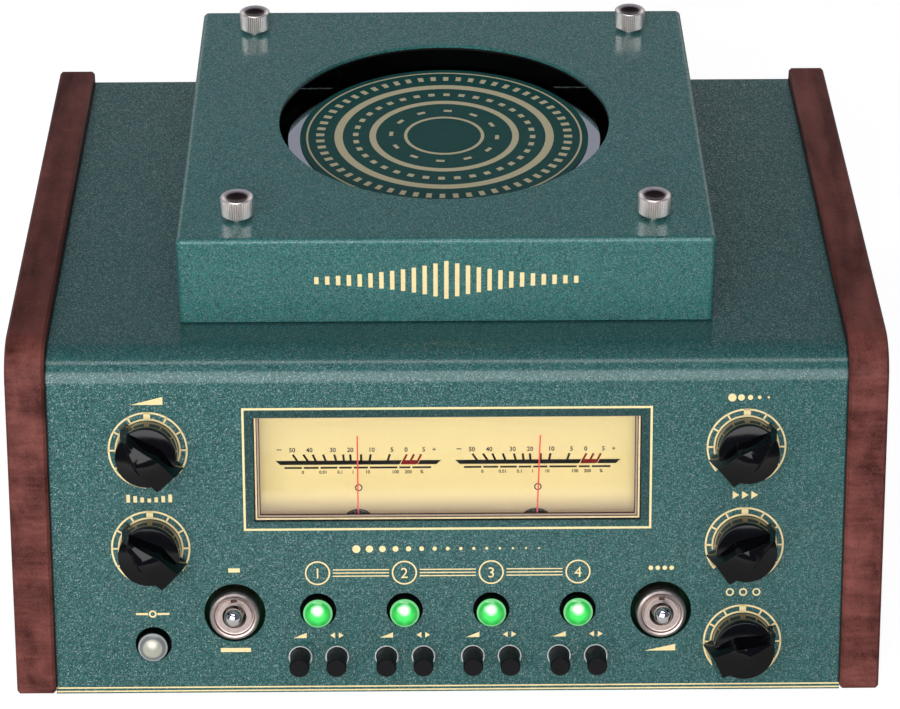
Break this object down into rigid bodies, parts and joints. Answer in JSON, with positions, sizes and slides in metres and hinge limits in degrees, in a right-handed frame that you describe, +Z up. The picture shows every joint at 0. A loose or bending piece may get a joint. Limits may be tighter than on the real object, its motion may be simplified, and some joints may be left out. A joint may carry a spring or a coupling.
{
  "type": "drum echo unit",
  "caption": "Tabletop drum echo: sheet-metal case between wooden cheeks, leaning panel with pointer knobs, toggles, lit buttons and twin meter, lift-off cover over a belt-driven drum.",
  "frame": {"origin": "middle of the unit's footprint, on the surface that it stands on", "axes": "+X to the right seen from the front, +Y to the rear, +Z up"},
  "size_m": [0.3, 0.2547, 0.161],
  "materials": {
    "green_paint": "metal-flake green paint, glossy",
    "black_steel": "black powder coat",
    "wood": "dark red-brown figured wood, lacquered",
    "rubber": "matt black rubber",
    "zinc": "zinc-plated steel",
    "nickel": "bright nickel plate",
    "polished_metal": "mirror-polished",
    "bronze": "bare bronze",
    "circuit_board": "green solder mask",
    "can_metal": "plain sheet",
    "black_plastic": "matt black",
    "gloss_black": "glossy black",
    "drum_print": "green with a beige print",
    "magnetic_film": "dark oxide coat",
    "lit_plastic": "translucent, lit green",
    "milky_plastic": "translucent, unlit",
    "dial_paper": "cream printed dial",
    "clear_lens": "clear",
    "red_lacquer": "red lacquer"
  },
  "bodies": {
    "case": {"case_wrap": "green_paint", "base_plate": "black_steel", "rear_panel": "green_paint", "left_cheek": "wood", "right_cheek": "wood", "feet": "rubber", "case_screws": "zinc", "deck_plate": "zinc", "cover_posts": "zinc", "drum_bearing": "bronze", "drive_motor": "zinc", "drive_belt": "rubber", "erase_head": "nickel", "record_head": "nickel", "playback_heads": "nickel", "head_brackets": "bronze", "main_board": "circuit_board", "control_board": "circuit_board", "potentiometers": "can_metal", "toggle_switches": "nickel", "button_switches": "black_plastic", "meter_case": "black_steel", "meter_dial": "dial_paper", "meter_lens": "clear_lens", "meter_movements": "black_plastic", "jack_sockets": "black_plastic", "power_inlet": "black_plastic"},
    "cover": {"drum_cover": "green_paint"},
    "drum": {"drum_body": "polished_metal", "drum_face": "drum_print", "recording_band": "magnetic_film", "drum_spindle": "zinc", "drum_pulley": "zinc"},
    "motor_rotor": {"motor_pulley": "zinc"},
    "thumbscrew_1": {"thumbscrew_1": "nickel"},
    "thumbscrew_2": {"thumbscrew_2": "nickel"},
    "thumbscrew_3": {"thumbscrew_3": "nickel"},
    "thumbscrew_4": {"thumbscrew_4": "nickel"},
    "knob_1": {"knob_1": "gloss_black"},
    "knob_2": {"knob_2": "gloss_black"},
    "knob_3": {"knob_3": "gloss_black"},
    "knob_4": {"knob_4": "gloss_black"},
    "knob_5": {"knob_5": "gloss_black"},
    "trim_1": {"trim_1": "black_plastic"},
    "trim_2": {"trim_2": "black_plastic"},
    "trim_3": {"trim_3": "black_plastic"},
    "trim_4": {"trim_4": "black_plastic"},
    "trim_5": {"trim_5": "black_plastic"},
    "trim_6": {"trim_6": "black_plastic"},
    "trim_7": {"trim_7": "black_plastic"},
    "trim_8": {"trim_8": "black_plastic"},
    "left_lever": {"left_lever": "nickel"},
    "right_lever": {"right_lever": "nickel"},
    "head_button_1": {"head_button_1": "lit_plastic"},
    "head_button_2": {"head_button_2": "lit_plastic"},
    "head_button_3": {"head_button_3": "lit_plastic"},
    "head_button_4": {"head_button_4": "lit_plastic"},
    "bypass_button": {"bypass_button": "milky_plastic"},
    "left_needle": {"left_needle": "red_lacquer"},
    "right_needle": {"right_needle": "red_lacquer"}
  },
  "joints": [
    {"name": "cover_lift", "type": "slide", "parent": "case", "child": "cover", "axis": [0, 0, 1], "range_m": [0, 0.06]},
    {"name": "thumbscrew_1_turn", "type": "hinge", "parent": "cover", "child": "thumbscrew_1", "pos_m": [-0.0715, -0.04254, 0.153], "axis": [0, 0, 1], "range_deg": [0, 720]},
    {"name": "thumbscrew_2_turn", "type": "hinge", "parent": "cover", "child": "thumbscrew_2", "pos_m": [0.0715, -0.04254, 0.153], "axis": [0, 0, 1], "range_deg": [0, 720]},
    {"name": "thumbscrew_3_turn", "type": "hinge", "parent": "cover", "child": "thumbscrew_3", "pos_m": [-0.0715, 0.10186, 0.153], "axis": [0, 0, 1], "range_deg": [0, 720]},
    {"name": "thumbscrew_4_turn", "type": "hinge", "parent": "cover", "child": "thumbscrew_4", "pos_m": [0.0715, 0.10186, 0.153], "axis": [0, 0, 1], "range_deg": [0, 720]},
    {"name": "drum_spin", "type": "hinge", "parent": "case", "child": "drum", "pos_m": [0, 0.02876, 0.12], "axis": [0, 0, 1], "continuous": true},
    {"name": "motor_spin", "type": "hinge", "parent": "case", "child": "motor_rotor", "pos_m": [0, 0.06276, 0.09], "axis": [0, 0, 1], "continuous": true},
    {"name": "knob_1_turn", "type": "hinge", "parent": "case", "child": "knob_1", "pos_m": [-0.1023, -0.08986, 0.08829], "axis": [0, -0.9598, 0.2807], "range_deg": [-192.5, 107.5]},
    {"name": "knob_2_turn", "type": "hinge", "parent": "case", "child": "knob_2", "pos_m": [-0.1023, -0.0998, 0.05432], "axis": [0, -0.9598, 0.2807], "range_deg": [-196, 104]},
    {"name": "knob_3_turn", "type": "hinge", "parent": "case", "child": "knob_3", "pos_m": [0.1023, -0.08986, 0.08829], "axis": [0, -0.9598, 0.2807], "range_deg": [-100, 200]},
    {"name": "knob_4_turn", "type": "hinge", "parent": "case", "child": "knob_4", "pos_m": [0.1023, -0.0998, 0.05432], "axis": [0, -0.9598, 0.2807], "range_deg": [-95.5, 204.5]},
    {"name": "knob_5_turn", "type": "hinge", "parent": "case", "child": "knob_5", "pos_m": [0.1023, -0.10976, 0.02024], "axis": [0, -0.9598, 0.2807], "range_deg": [-84, 216]},
    {"name": "trim_1_turn", "type": "hinge", "parent": "case", "child": "trim_1", "pos_m": [-0.0514, -0.11111, 0.01563], "axis": [0, -0.9598, 0.2807], "range_deg": [-150, 150]},
    {"name": "trim_2_turn", "type": "hinge", "parent": "case", "child": "trim_2", "pos_m": [-0.0386, -0.11111, 0.01563], "axis": [0, -0.9598, 0.2807], "range_deg": [-150, 150]},
    {"name": "trim_3_turn", "type": "hinge", "parent": "case", "child": "trim_3", "pos_m": [-0.0214, -0.11111, 0.01563], "axis": [0, -0.9598, 0.2807], "range_deg": [-150, 150]},
    {"name": "trim_4_turn", "type": "hinge", "parent": "case", "child": "trim_4", "pos_m": [-0.0086, -0.11111, 0.01563], "axis": [0, -0.9598, 0.2807], "range_deg": [-150, 150]},
    {"name": "trim_5_turn", "type": "hinge", "parent": "case", "child": "trim_5", "pos_m": [0.0086, -0.11111, 0.01563], "axis": [0, -0.9598, 0.2807], "range_deg": [-150, 150]},
    {"name": "trim_6_turn", "type": "hinge", "parent": "case", "child": "trim_6", "pos_m": [0.0214, -0.11111, 0.01563], "axis": [0, -0.9598, 0.2807], "range_deg": [-150, 150]},
    {"name": "trim_7_turn", "type": "hinge", "parent": "case", "child": "trim_7", "pos_m": [0.0386, -0.11111, 0.01563], "axis": [0, -0.9598, 0.2807], "range_deg": [-150, 150]},
    {"name": "trim_8_turn", "type": "hinge", "parent": "case", "child": "trim_8", "pos_m": [0.0514, -0.11111, 0.01563], "axis": [0, -0.9598, 0.2807], "range_deg": [-150, 150]},
    {"name": "left_lever_tilt", "type": "hinge", "parent": "case", "child": "left_lever", "pos_m": [-0.0738, -0.1036, 0.03063], "axis": [1, 0, 0], "range_deg": [0, 19]},
    {"name": "right_lever_tilt", "type": "hinge", "parent": "case", "child": "right_lever", "pos_m": [0.0738, -0.1036, 0.03063], "axis": [1, 0, 0], "range_deg": [0, 19]},
    {"name": "head_button_1_press", "type": "slide", "parent": "case", "child": "head_button_1", "axis": [0, 0.9598, -0.2807], "range_m": [0, 0.0025], "stiffness_N_per_m": 600},
    {"name": "head_button_2_press", "type": "slide", "parent": "case", "child": "head_button_2", "axis": [0, 0.9598, -0.2807], "range_m": [0, 0.0025], "stiffness_N_per_m": 600},
    {"name": "head_button_3_press", "type": "slide", "parent": "case", "child": "head_button_3", "axis": [0, 0.9598, -0.2807], "range_m": [0, 0.0025], "stiffness_N_per_m": 600},
    {"name": "head_button_4_press", "type": "slide", "parent": "case", "child": "head_button_4", "axis": [0, 0.9598, -0.2807], "range_m": [0, 0.0025], "stiffness_N_per_m": 600},
    {"name": "bypass_button_press", "type": "slide", "parent": "case", "child": "bypass_button", "axis": [0, 0.9598, -0.2807], "range_m": [0, 0.0025], "stiffness_N_per_m": 600},
    {"name": "left_needle_swing", "type": "hinge", "parent": "case", "child": "left_needle", "pos_m": [-0.0309, -0.09882, 0.05767], "axis": [0, -0.9598, 0.2807], "range_deg": [-45, 45], "stiffness_Nm_per_rad": 0.0005},
    {"name": "right_needle_swing", "type": "hinge", "parent": "case", "child": "right_needle", "pos_m": [0.0309, -0.09882, 0.05767], "axis": [0, -0.9598, 0.2807], "range_deg": [-43, 47], "stiffness_Nm_per_rad": 0.0005}
  ],
  "couplings": [
    {"joint": "motor_spin", "follows": "drum_spin", "ratio": 3}
  ]
}
